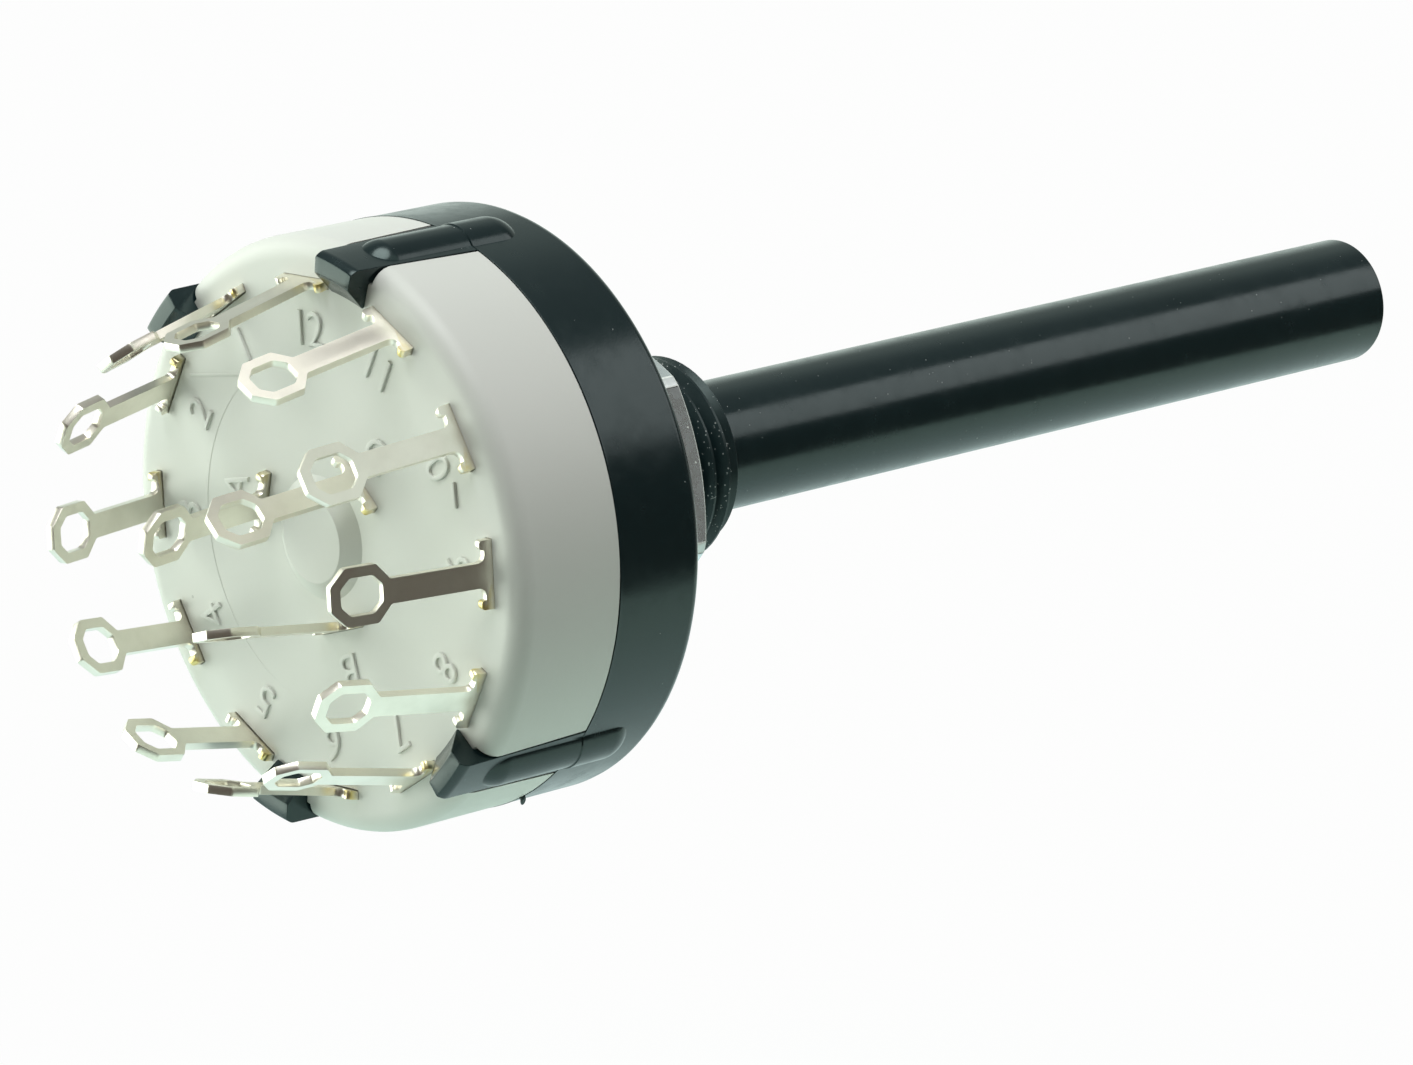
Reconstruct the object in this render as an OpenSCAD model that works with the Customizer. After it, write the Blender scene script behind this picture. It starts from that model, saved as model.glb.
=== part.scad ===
// Panel-mounting rotary switch, three poles of four ways.
// Built in millimetres. The shaft runs along -Y towards the user, the solder
// tags along +Y, and +Z is up. The origin is on the shaft's axis, in the plane
// of the housing's front rim, which is the face that meets the panel.

/* [Body] */
// Diameter of the round body
body_d = 28; // [26:0.5:36]
// Depth of the front housing, from its front rim to the joint with the stator
housing_h = 5; // [4.6:0.1:8]
// Depth of the rear stator, from the joint to its rear face
stator_h = 6; // [5.4:0.1:9]
// Thickness of the housing's front wall
front_wall = 1.5; // [1.2:0.1:2.5]
// Depth of the round recess in the front face that takes the stop washer
recess_h = 0.7; // [0.4:0.05:0.9]
// Thickness of the stator's side wall
stator_wall = 1.6; // [1.4:0.1:2.4]
// Thickness of the stator's rear plate
plate_t = 1.4; // [1:0.1:2]
// Wall of the housing's spigot outside the deepest point of a detent notch
spigot_wall = 0.8; // [0.6:0.1:1.5]
// Rounding of the housing's front edge
front_edge_r = 0.6; // [0.2:0.1:1]
// Rounding of the stator's rear edge
rear_edge_r = 1; // [0.4:0.1:1.4]

/* [Bush] */
// Major diameter of the bush's thread
bush_d = 10; // [9:0.5:14]
// Length of the bush in front of the front rim
bush_h = 10.8; // [8:0.2:16]
// Chamfer on the bush's front end
bush_chamfer = 0.5; // [0.2:0.1:0.8]

/* [Shaft] */
// Diameter of the shaft
shaft_d = 6.35; // [5:0.05:7.2]
// Length of the shaft in front of the front rim
shaft_len = 57.7; // [16:0.1:70]
// Chamfer on the shaft's front end
tip_chamfer = 0.35; // [0.2:0.05:1]
// Step from the shaft up to its journal inside the bush, in radius
journal_step = 0.2; // [0.2:0.05:0.4]
// Diameter of the rear pivot
pivot_d = 2.8; // [2.2:0.1:3.4]

/* [Detent] */
// Angle between two switch positions
index_angle = 30; // [30]
// Number of positions that the stop washer allows
positions = 4; // [2:1:11]
// Diameter of the two detent balls
ball_d = 3; // [2.5:0.1:3.2]
// Depth of the notches below the crests between them
notch_h = 0.5; // [0.3:0.05:0.7]
// Diameter of the detent spring's wire
spring_wire = 0.35; // [0.25:0.05:0.45]
// Number of turns of the detent spring
spring_turns = 15; // [10:1:20]

/* [Stop] */
// Radius of the ring of stop holes
stop_r = 7; // [6.6:0.1:8]
// Thickness of the stop washer
stop_washer_t = 0.6; // [0.4:0.05:0.8]
// Width of the stop washer's tab
stop_tab_w = 0.9; // [0.6:0.1:1.1]
// Depth of the channel in the drum that the stops run in
channel_h = 0.9; // [0.7:0.1:1.2]
// Half the angle that a stop lug covers
lug_half_angle = 7; // [5:0.5:9]

/* [Snap clips] */
// Thickness of a clip's arm
clip_t = 0.8; // [0.6:0.1:1]
// Width of an arm at the joint
clip_root_w = 3.2; // [2.6:0.1:3.6]
// Width of an arm at its hook
clip_tip_w = 2.6; // [2:0.1:3]
// Height of the hook above the rear face
hook_h = 1.2; // [0.8:0.1:1.6]
// Reach of the hook over the rear face, from the arm's inner face
hook_reach = 1.4; // [0.8:0.1:1.4]
// Radius of the rounded rib on an arm
rib_r = 1.6; // [1.4:0.1:2]
// Height of the rib above the arm
rib_h = 0.45; // [0.2:0.05:0.6]
// Gap from the rear face to the rib's rear end
rib_rear_gap = 0.8; // [0.5:0.1:2]
// Gap from the front rim to the rib's front end
rib_front_gap = 1.9; // [1:0.1:3.5]

/* [Solder tags] */
// Thickness of the sheet of the tags
tag_t = 0.4; // [0.3:0.05:0.5]
// Inset of the outer tags from the body's outside
tag_inset = 2; // [1.9:0.05:2.6]
// Radius of the circle of the pole tags
pole_r = 4.2; // [4:0.1:5]
// Height of an eyelet's centre above the rear face, along the tag
eyelet_v = 6.5; // [5:0.1:8]
// Width of an eyelet
eyelet_w = 2.7; // [2.2:0.1:3]
// Length of an eyelet
eyelet_l = 3.1; // [2.6:0.1:3.6]
// Width of the hole in an eyelet
eyelet_hole_w = 1.75; // [1.2:0.05:1.9]
// Length of the hole in an eyelet
eyelet_hole_l = 2.1; // [1.5:0.05:2.4]
// Width of a tag's stem
stem_w = 1.15; // [0.8:0.05:1.5]
// Width of a tag's foot
foot_w = 3.2; // [2.6:0.1:3.4]
// Height of a foot above the rear face
foot_h = 0.35; // [0.2:0.05:0.6]
// Height of the nibs at the ends of a foot
nib_h = 0.6; // [0.4:0.05:0.8]
// Width of a nib
nib_w = 0.45; // [0.3:0.05:0.6]
// Angle by which the outer tags lean towards the axis
tag_lean = 12.9; // [0:0.1:16]
// Angle by which the pole tags lean towards the axis
pole_lean = 7.8; // [0:0.1:10]
// Width of a contact pad inside the body
pad_w = 2.2; // [1.6:0.1:2.4]
// Length of an outer contact pad
pad_l = 3.9; // [3.4:0.1:4.4]

/* [Rear boss] */
// Radius of the boss at the rear face
boss_base_r = 2.9; // [2.5:0.1:3.2]
// Radius of the boss at its top
boss_top_r = 2.1; // [1.9:0.1:2.4]
// Height of the boss
boss_h = 0.6; // [0.4:0.1:1]

/* [Nut and washers] */
// Wall of the nut between its bore and its flats
nut_wall = 2; // [1.5:0.25:4]
// Thickness of the nut
nut_t = 2; // [1.6:0.1:3]
// Distance from the front rim to the nut's front face
nut_front = 6.4; // [4:0.1:9]
// Thickness of the lock washer's sheet
lock_t = 0.5; // [0.4:0.05:0.8]
// Width of the lock washer from the bush to the ends of its teeth
lock_w = 2.8; // [2.2:0.1:4]
// Number of teeth on the lock washer
lock_teeth = 12; // [8:1:16]

/* [Locating peg] */
// Diameter of the locating peg
peg_d = 2.4; // [1.8:0.1:3]
// Length of the locating peg
peg_h = 1.6; // [1:0.1:2.5]
// Distance of the peg from the shaft's axis
peg_r = 11; // [10.4:0.1:12]
// Chamfer on the peg's end
peg_chamfer = 0.2; // [0.1:0.1:0.5]

/* [Fits] */
// Radial running clearance of the shaft, the pivot and the balls
run_gap = 0.05; // [0.02:0.01:0.1]
// Gap between pieces that are fixed to each other
seat_gap = 0.02; // [0.01:0.01:0.05]
// Gap between pieces that pass each other, and at each end of the travel
pass_gap = 0.2; // [0.15:0.05:0.3]

/* [Hidden] */
$fn = 96;

// A small overlap that makes cuts run through
eps = 0.01;
// The least radius left on an edge that looks sharp
edge_r = 0.05;
// Gap around each snap clip's arm and inside the stator's wall
arm_gap = 0.1;
spigot_gap = 0.1;
// Gap between the bush and the washers around it
washer_gap = 0.1;
// Angle left between a lug and its stop at each end of the travel
stop_gap_angle = 0.6;
// Web of the drum beside the hole that the balls and the spring run in
web_t = 0.45;
// Free height between the rotor and the contact pads
contact_gap = 1;

// Heights in the stack frame: z runs rearwards from the front rim
z_joint = housing_h;
z_rear = housing_h + stator_h;
z_plate = z_rear - plate_t;
z_pad = z_plate - tag_t;
z_drum = front_wall + pass_gap;
z_channel = z_drum + channel_h;
cross_r = ball_d / 2 + run_gap;
z_ball = z_channel + web_t + cross_r;
z_drum_rear = z_ball + cross_r + web_t;
z_rotor = z_drum_rear + seat_gap;
z_rotor_rear = z_pad - contact_gap;
z_spigot = z_ball + ball_d / 2 + pass_gap;

// Radii
body_r = body_d / 2;
bush_r = bush_d / 2;
nut_af = bush_d + 2 * nut_wall;
lock_r = bush_r + lock_w;
shaft_r = shaft_d / 2;
journal_r = shaft_r + journal_step;
pivot_r = pivot_d / 2;
stator_r = body_r - stator_wall;
spigot_r = stator_r - spigot_gap;
notch_depth_r = spigot_r - spigot_wall;
crest_r = notch_depth_r - notch_h;
drum_r = crest_r - 2 * pass_gap;
ball_r = ball_d / 2;
ball_travel = notch_h;
ball_seat_gap = 0.03;
ball_rest_r = crest_r - ball_r - ball_seat_gap;
notch_r = ball_r + 2 * run_gap;
tag_r = body_r - tag_inset;

// The ring of stops: washer, holes, the fixed rib and the drum's channel
stop_washer_r = stop_r + 1.5;
recess_r = stop_washer_r + pass_gap;
stop_hole_r = 0.7;
stop_rib_r = [stop_r - 0.6, stop_r + 0.6];
channel_r = [stop_r - 0.9, stop_r + 0.9];

// Where a bridging contact touches the pole's track and the outer pad
touch_in = pole_r + 0.9;
touch_out = tag_r - 2.7;
leaf_slot_end = 0.9;
leaf_slot_h = 0.35;

// Angles in the stack frame, which turn the way the tag numbers rise
tag_count = 12;
pole_count = 3;
pole_step = 360 / pole_count;
function tag_angle(k) = 30 * k - 90;
function pole_angle(p) = -15 + pole_step * p;
function contact_angle(p) = tag_angle(1) + pole_step * p;
clip_angles = [-45, -105, 135, 75];
peg_angle = -90;
ball_angle = 90;
lug_angle = 0;
stop_rib_angle = lug_angle - 2 * lug_half_angle - stop_gap_angle;
tab_half_angle = asin(stop_tab_w / 2 / stop_r);
function stop_hole_angle(n) =
    lug_angle + index_angle * (n - 1) + lug_half_angle + tab_half_angle + stop_gap_angle;
nut_corner_angle = 41;

// Turns the stack frame, whose z runs rearwards, into the part's frame
module stack() {
    rotate([-90, 0, 0]) children();
}

// A ring about the stack's axis between two radii and two heights
module ring(r_in, r_out, z0, z1) {
    translate([0, 0, z0]) difference() {
        cylinder(r = r_out, h = z1 - z0);
        translate([0, 0, -eps]) cylinder(r = r_in, h = z1 - z0 + 2 * eps);
    }
}

// A stretch of a ring, centred on the x axis
module arc_block(r_in, r_out, half_angle, z0, z1) {
    translate([0, 0, z0]) rotate([0, 0, -half_angle])
        rotate_extrude(angle = 2 * half_angle)
            translate([r_in, 0]) square([r_out - r_in, z1 - z0]);
}

// The outline of a turned disc with both outer edges rounded
module rounded_disc(r, z0, z1, r0, r1) {
    rotate_extrude() {
        translate([0, z0 + r0]) square([r, z1 - z0 - r0 - r1]);
        translate([0, z0]) square([r - r0, r0 + eps]);
        translate([0, z1 - r1 - eps]) square([r - r1, r1 + eps]);
        intersection() {
            translate([r - r0, z0 + r0]) circle(r = r0);
            translate([r - r0 - eps, z0]) square([r0 + eps, r0 + eps]);
        }
        intersection() {
            translate([r - r1, z1 - r1]) circle(r = r1);
            translate([r - r1 - eps, z1 - r1 - eps]) square([r1 + eps, r1 + eps]);
        }
    }
}

// ---------------------------------------------------------------- housing

// One snap clip on the x axis: an arm, the hook at its end and the rounded rib
module clip() {
    arm_in = body_r - clip_t;
    arm_z = z_joint - 1;
    hook_z = z_rear + seat_gap;
    rib_x = body_r + rib_h - rib_r;
    rib_end = sqrt(rib_r * rib_r - pow(rib_r - rib_h, 2));
    rib_z = [rib_front_gap + rib_end, z_rear - rib_rear_gap - rib_end];
    rib_sink = 0.12;
    rib_w = clip_tip_w - 0.16;
    intersection() {
        rotate([90, 0, 0]) translate([0, 0, -body_r]) linear_extrude(height = body_d)
            polygon([
                [arm_in, arm_z],
                [body_r, arm_z],
                [body_r, hook_z + hook_h - 0.4],
                [body_r - 0.1, hook_z + hook_h],
                [arm_in - hook_reach + hook_h, hook_z + hook_h],
                [arm_in - hook_reach, hook_z],
                [arm_in, hook_z]
            ]);
        rotate([90, 0, 90]) linear_extrude(height = body_d)
            polygon([
                [-clip_root_w / 2, arm_z],
                [clip_root_w / 2, arm_z],
                [clip_tip_w / 2, z_rear],
                [clip_tip_w / 2, z_rear + 2 * hook_h],
                [-clip_tip_w / 2, z_rear + 2 * hook_h],
                [-clip_tip_w / 2, z_rear]
            ]);
    }
    intersection() {
        union() {
            translate([rib_x, 0, rib_z[0]]) cylinder(r = rib_r, h = rib_z[1] - rib_z[0]);
            for (z = rib_z) translate([rib_x, 0, z]) sphere(r = rib_r);
        }
        translate([body_r - rib_sink, -rib_w / 2, 0]) cube([rib_h + 2 * rib_sink, rib_w, z_rear]);
    }
}

// The notches that the balls drop into, cut as one set of cylinders
module notch_set(z0, z1) {
    for (a = [0 : index_angle : 359])
        rotate([0, 0, a]) translate([notch_depth_r - notch_r, 0, z0])
            cylinder(r = notch_r, h = z1 - z0, $fn = 48);
}

// Black front housing: front wall, threaded bush, detent ring and snap clips
module front_housing() {
    color([0.11, 0.12, 0.13]) stack() difference() {
        union() {
            difference() {
                rounded_disc(body_r, 0, z_joint, front_edge_r, edge_r);
                translate([0, 0, -eps]) cylinder(r = recess_r, h = recess_h + eps);
            }
            translate([0, 0, z_joint - 1]) cylinder(r = spigot_r, h = z_spigot - z_joint + 1);
            translate([0, 0, -bush_h]) {
                cylinder(r1 = bush_r - bush_chamfer, r2 = bush_r, h = bush_chamfer);
                translate([0, 0, bush_chamfer]) cylinder(r = bush_r, h = bush_h - bush_chamfer + front_wall);
            }
            rotate([0, 0, peg_angle]) translate([peg_r, 0, -peg_h]) {
                cylinder(d1 = peg_d - 2 * peg_chamfer, d2 = peg_d, h = peg_chamfer);
                translate([0, 0, peg_chamfer]) cylinder(d = peg_d, h = peg_h);
            }
            for (a = clip_angles) rotate([0, 0, a]) clip();
        }
        difference() {
            union() {
                translate([0, 0, front_wall]) cylinder(r = crest_r, h = z_spigot);
                notch_set(front_wall, z_spigot + 1);
            }
            rotate([0, 0, stop_rib_angle])
                arc_block(stop_rib_r[0], stop_rib_r[1], lug_half_angle, 0, z_channel - pass_gap);
        }
        translate([0, 0, -bush_h - 1]) cylinder(r = journal_r + run_gap, h = bush_h + front_wall + 2);
        for (n = [2 : 11]) rotate([0, 0, stop_hole_angle(n)]) translate([stop_r, 0, 0])
            cylinder(r = stop_hole_r, h = front_wall + 1, $fn = 32);
    }
}

// ----------------------------------------------------------------- stator

// The slot that one tag passes through
module tag_slot(r) {
    translate([r - tag_t / 2 - seat_gap, -foot_w / 2 - seat_gap, z_plate - 1])
        cube([tag_t + 2 * seat_gap, foot_w + 2 * seat_gap, plate_t + 2]);
}

// Light grey stator: side wall, rear plate and the boss over the rear pivot
module rear_stator() {
    z0 = z_joint + seat_gap * 2;
    color([0.80, 0.83, 0.79]) stack() difference() {
        union() {
            rounded_disc(body_r, z0, z_rear, edge_r, rear_edge_r);
            translate([0, 0, z_rear - eps])
                cylinder(r1 = boss_base_r, r2 = boss_top_r, h = boss_h + eps);
        }
        translate([0, 0, z0 - 1]) cylinder(r = stator_r, h = z_plate - z0 + 1);
        translate([0, 0, z_plate - 1]) cylinder(r = pivot_r + run_gap, h = plate_t + 1.1);
        for (k = [1 : tag_count]) rotate([0, 0, tag_angle(k)]) tag_slot(tag_r);
        for (p = [0 : pole_count - 1]) rotate([0, 0, pole_angle(p)]) tag_slot(pole_r);
        for (a = clip_angles) rotate([0, 0, a])
            translate([body_r - clip_t - arm_gap, 0, 0]) rotate([90, 0, 90])
                linear_extrude(height = body_r)
                    polygon([
                        [-clip_root_w / 2 - arm_gap, z_joint - 1],
                        [clip_root_w / 2 + arm_gap, z_joint - 1],
                        [clip_tip_w / 2 + arm_gap, z_rear + eps],
                        [-clip_tip_w / 2 - arm_gap, z_rear + eps]
                    ]);
    }
}

// ------------------------------------------------------------ solder tags

// An octagon of a given width and length, centred, with its corners cut
module octagon(w, l, cut) {
    polygon([
        [-w / 2 + cut, -l / 2], [w / 2 - cut, -l / 2],
        [w / 2, -l / 2 + cut], [w / 2, l / 2 - cut],
        [w / 2 - cut, l / 2], [-w / 2 + cut, l / 2],
        [-w / 2, l / 2 - cut], [-w / 2, -l / 2 + cut]
    ]);
}

// The flat blank of a tag above the rear face: foot, nibs, stem and eyelet
module tag_blank() {
    fillet = 0.35;
    eyelet_cut = eyelet_w * 0.29;
    hole_cut = eyelet_hole_w * 0.27;
    difference() {
        union() {
            translate([-foot_w / 2, 0]) square([foot_w, foot_h]);
            for (s = [-1, 1]) translate([s * (foot_w - nib_w) / 2 - nib_w / 2, 0])
                square([nib_w, nib_h]);
            translate([-stem_w / 2, 0]) square([stem_w, eyelet_v - eyelet_l / 2 + 0.2]);
            translate([-stem_w / 2 - fillet, foot_h - eps]) square([stem_w + 2 * fillet, fillet]);
            translate([0, eyelet_v]) octagon(eyelet_w, eyelet_l, eyelet_cut);
        }
        for (s = [-1, 1]) translate([s * (stem_w / 2 + fillet), foot_h + fillet])
            circle(r = fillet, $fn = 32);
        translate([0, eyelet_v]) octagon(eyelet_hole_w, eyelet_hole_l, hole_cut);
    }
}

// A tag on the x axis at a radius: the part in the plate, and the leaning part
module tag(r, lean) {
    translate([r - tag_t / 2, -foot_w / 2, z_pad]) cube([tag_t, foot_w, z_rear - z_pad]);
    translate([r, 0, z_rear]) rotate([90, 0, 0])
        cylinder(d = tag_t, h = foot_w, center = true, $fn = 32);
    translate([r, 0, z_rear]) rotate([0, -lean, 0]) rotate([90, 0, 90])
        translate([0, 0, -tag_t / 2]) linear_extrude(height = tag_t) tag_blank();
}

// One of the twelve outer tags with its contact pad under the rear plate
module terminal(k) {
    color([0.80, 0.80, 0.76]) stack() rotate([0, 0, tag_angle(k)]) {
        tag(tag_r, tag_lean);
        translate([tag_r - pad_l, -pad_w / 2, z_pad]) cube([pad_l, pad_w, tag_t - seat_gap]);
    }
}

// One of the three pole tags with its curved contact track
module pole_terminal(p) {
    track_half_angle = index_angle * 1.5 + 8;
    track_r = pole_r - tag_t / 2;
    track_w = 2.2;
    color([0.80, 0.80, 0.76]) stack() rotate([0, 0, pole_angle(p)]) {
        tag(pole_r, pole_lean);
        arc_block(track_r, track_r + track_w, track_half_angle, z_pad, z_plate - seat_gap);
    }
}

// ---------------------------------------------------------------- spindle

// The double-D that drives the rotor
module drive_key(gap, z0, z1) {
    key_r = 2.6;
    key_flat = key_r * 0.73;
    translate([0, 0, z0]) intersection() {
        cylinder(r = key_r + gap, h = z1 - z0);
        translate([-key_r - 1, -key_flat - gap, 0])
            cube([2 * key_r + 2, 2 * (key_flat + gap), z1 - z0]);
    }
}

// Black shaft and detent drum in one moulding
module spindle() {
    color([0.10, 0.11, 0.12]) stack() difference() {
        union() {
            translate([0, 0, -shaft_len]) {
                cylinder(r1 = shaft_r - tip_chamfer, r2 = shaft_r, h = tip_chamfer);
                translate([0, 0, tip_chamfer])
                    cylinder(r = shaft_r, h = shaft_len - tip_chamfer - bush_h + eps);
            }
            translate([0, 0, -bush_h]) cylinder(r = journal_r, h = bush_h + z_drum + eps);
            translate([0, 0, z_drum]) cylinder(r = drum_r, h = z_drum_rear - z_drum);
            drive_key(0, z_drum_rear - eps, z_rotor_rear);
            translate([0, 0, z_drum_rear])
                cylinder(r = pivot_r, h = z_rear - z_drum_rear - pass_gap / 2);
        }
        rotate([0, 0, lug_angle + 180])
            arc_block(channel_r[0], channel_r[1], 180 - lug_half_angle, z_drum - eps, z_channel);
        translate([0, 0, z_ball]) rotate([0, 0, ball_angle]) rotate([0, 90, 0])
            cylinder(r = cross_r, h = 2 * drum_r + 2, center = true);
    }
}

// White rotor that carries the bridging contacts
module rotor() {
    color([0.90, 0.90, 0.86]) stack() difference() {
        translate([0, 0, z_rotor]) cylinder(r = drum_r, h = z_rotor_rear - z_rotor);
        drive_key(seat_gap, z_rotor - 1, z_rotor_rear + 1);
        for (p = [0 : pole_count - 1]) rotate([0, 0, contact_angle(p)])
            translate([touch_in - leaf_slot_end, -pad_w / 2, z_rotor_rear - leaf_slot_h])
                cube([touch_out - touch_in + 2 * leaf_slot_end, pad_w, 1]);
    }
}

// One bridging contact: a bowed leaf whose two ends touch the tracks above it
module bridge_contact(p) {
    leaf_t = 0.25;
    leaf_w = pad_w - 2 * pass_gap;
    lip = 0.6;
    flat = 0.15;
    ramp = 1.1;
    low = z_rotor_rear - leaf_slot_h + seat_gap;
    high = z_pad - seat_gap - leaf_t;
    path = [[touch_in - lip, high - leaf_t], [touch_in - flat, high], [touch_in + flat, high],
            [touch_in + ramp, low], [touch_out - ramp, low],
            [touch_out - flat, high], [touch_out + flat, high], [touch_out + lip, high - leaf_t]];
    last = len(path) - 1;
    color([0.85, 0.78, 0.62]) stack() rotate([0, 0, contact_angle(p)])
        rotate([90, 0, 0]) translate([0, 0, -leaf_w / 2]) linear_extrude(height = leaf_w)
            polygon(concat(path, [for (i = [last : -1 : 0]) path[i] + [0, leaf_t]]));
}

// ----------------------------------------------------------------- detent

spring_len = 2 * (ball_rest_r - ball_r - seat_gap);
spring_coil_r = cross_r - pass_gap - spring_wire / 2;
spring_sides = 8;
spring_steps = 14;

// Height of the wire's centre after t turns: closed end turns and an even pitch between
function spring_z(t) = lookup(t, [
    [0, spring_wire / 2],
    [1, spring_wire * 1.55],
    [spring_turns - 1, spring_len - spring_wire * 1.55],
    [spring_turns, spring_len - spring_wire / 2]]);

// Coil spring that pushes the two balls apart
module detent_spring() {
    rings = spring_turns * spring_steps;
    n = spring_sides;
    points = [for (i = [0 : rings]) for (j = [0 : n - 1])
        let (
            a = 360 * i / spring_steps,
            b = 360 * j / n,
            r = spring_coil_r + spring_wire / 2 * cos(b),
            z = spring_z(i / spring_steps) + spring_wire / 2 * sin(b)
        )
        [r * cos(a), r * sin(a), z]];
    sides = [for (i = [0 : rings - 1]) for (j = [0 : n - 1])
        [i * n + j, i * n + (j + 1) % n, (i + 1) * n + (j + 1) % n, (i + 1) * n + j]];
    caps = [[for (j = [n - 1 : -1 : 0]) j], [for (j = [0 : n - 1]) rings * n + j]];
    color([0.72, 0.73, 0.75]) stack()
        translate([0, 0, z_ball]) rotate([0, 0, ball_angle]) rotate([0, 90, 0])
            translate([0, 0, -spring_len / 2])
                polyhedron(points = points, faces = concat(sides, caps), convexity = 10);
}

// A detent ball at one end of the spring
module detent_ball(side) {
    color([0.78, 0.79, 0.81]) stack()
        rotate([0, 0, ball_angle]) translate([side * ball_rest_r, 0, z_ball]) sphere(d = ball_d);
}

// -------------------------------------------------------- nut and washers

// Flat washer whose bent tab drops into one of the stop holes
module stop_washer() {
    z1 = recess_h - seat_gap;
    color([0.70, 0.71, 0.72]) stack() {
        ring(bush_r + washer_gap, stop_washer_r, z1 - stop_washer_t, z1);
        rotate([0, 0, stop_hole_angle(positions)])
            translate([stop_r - stop_washer_t / 2, -stop_tab_w / 2, z1 - eps])
                cube([stop_washer_t, stop_tab_w, z_channel - pass_gap - z1]);
    }
}

// Lock washer with twisted teeth, behind the nut
module lock_washer() {
    twist = 12;
    tooth_w = 1.3;
    tooth_in = bush_r + 1.2;
    rise = tooth_w / 2 * sin(twist);
    color([0.74, 0.75, 0.76]) stack() translate([0, 0, -nut_front + nut_t + seat_gap + rise]) {
        ring(bush_r + washer_gap, tooth_in + 0.1, 0, lock_t);
        for (i = [0 : lock_teeth - 1]) rotate([0, 0, 360 * i / lock_teeth])
            translate([tooth_in, 0, lock_t / 2]) rotate([twist, 0, 0])
                translate([0, -tooth_w / 2, -lock_t / 2]) cube([lock_r - tooth_in, tooth_w, lock_t]);
    }
}

// Thin hexagon nut, chamfered at both faces
module hex_nut() {
    corner_r = nut_af / 2 / cos(30);
    chamfer_h = (corner_r - nut_af / 2) * tan(30);
    color([0.76, 0.77, 0.77]) stack() translate([0, 0, -nut_front]) difference() {
        intersection() {
            rotate([0, 0, nut_corner_angle]) cylinder(r = corner_r, h = nut_t, $fn = 6);
            union() {
                cylinder(r1 = nut_af / 2, r2 = corner_r + eps, h = chamfer_h + eps);
                translate([0, 0, chamfer_h]) cylinder(r = corner_r + eps, h = nut_t - 2 * chamfer_h);
                translate([0, 0, nut_t - chamfer_h - eps])
                    cylinder(r1 = corner_r + eps, r2 = nut_af / 2, h = chamfer_h + eps);
            }
        }
        translate([0, 0, -1]) cylinder(r = bush_r + seat_gap, h = nut_t + 2);
    }
}

front_housing();
rear_stator();
spindle();
rotor();
bridge_contact(0);  // bridge_contact_a
bridge_contact(1);  // bridge_contact_b
bridge_contact(2);  // bridge_contact_c
detent_spring();
detent_ball(1);  // detent_ball_1
detent_ball(-1);  // detent_ball_2
stop_washer();
lock_washer();
hex_nut();
for (k = [1 : tag_count])
    terminal(k);
pole_terminal(0);  // pole_terminal_a
pole_terminal(1);  // pole_terminal_b
pole_terminal(2);  // pole_terminal_c
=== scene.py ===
"""A panel-mounting rotary switch: the looks around its fixed frame."""

import math

import bmesh
import bpy
from mathutils import Matrix, Vector

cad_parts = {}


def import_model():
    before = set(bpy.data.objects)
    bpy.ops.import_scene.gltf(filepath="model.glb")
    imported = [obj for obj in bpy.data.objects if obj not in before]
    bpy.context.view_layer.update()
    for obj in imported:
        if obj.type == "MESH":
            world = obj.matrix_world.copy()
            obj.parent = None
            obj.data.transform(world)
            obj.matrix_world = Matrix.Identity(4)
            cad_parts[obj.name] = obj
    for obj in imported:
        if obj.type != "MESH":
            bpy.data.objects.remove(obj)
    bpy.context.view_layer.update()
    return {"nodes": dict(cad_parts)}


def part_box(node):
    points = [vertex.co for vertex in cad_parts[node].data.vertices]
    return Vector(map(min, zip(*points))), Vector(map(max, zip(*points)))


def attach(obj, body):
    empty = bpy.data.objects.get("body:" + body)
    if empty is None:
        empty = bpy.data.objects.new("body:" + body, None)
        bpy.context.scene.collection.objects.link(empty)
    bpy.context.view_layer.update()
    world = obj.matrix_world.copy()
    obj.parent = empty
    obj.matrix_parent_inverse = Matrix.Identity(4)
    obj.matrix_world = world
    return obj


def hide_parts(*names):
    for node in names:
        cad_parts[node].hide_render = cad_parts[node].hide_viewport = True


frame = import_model()

# ------------------------------------------------------------------ sizes
# Pieces are drawn in millimetres on a stack: z runs rearwards from the panel
# face along the shaft's axis. STACK turns that into the frame, in metres.

MM = 0.001
STACK = Matrix.Rotation(math.radians(-90), 4, "X") @ Matrix.Scale(MM, 4)
X, Y, Z = 0, 1, 2


def span(node, axis):
    """The lowest and highest coordinate of a CAD node along a frame axis, in millimetres."""
    low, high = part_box(node)
    return low[axis] / MM, high[axis] / MM


# Sizes that the nodes' boxes don't give. In names, _r is a radius, _t a thickness, _w a width, _h a height,
# _z a place on the stack and _half half a width. A lean is in degrees.
shaft_r = 3.175
bush_r = 5.0
plate_t = 1.4
rear_edge_r = 1.0
front_edge_r = 0.6
recess_r = 8.7
recess_z = 0.7
notch_h = 0.5
boss_h = 0.6
pole_r = 4.2
tag_lean = 12.9
pole_lean = 7.8
tag_t = 0.4
foot_half = 1.6
nib_w = 0.45
pad_t = 0.38
clip_t = 0.8
clip_half = 1.6
clip_taper = 0.3
slot_gap = 0.1

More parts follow.
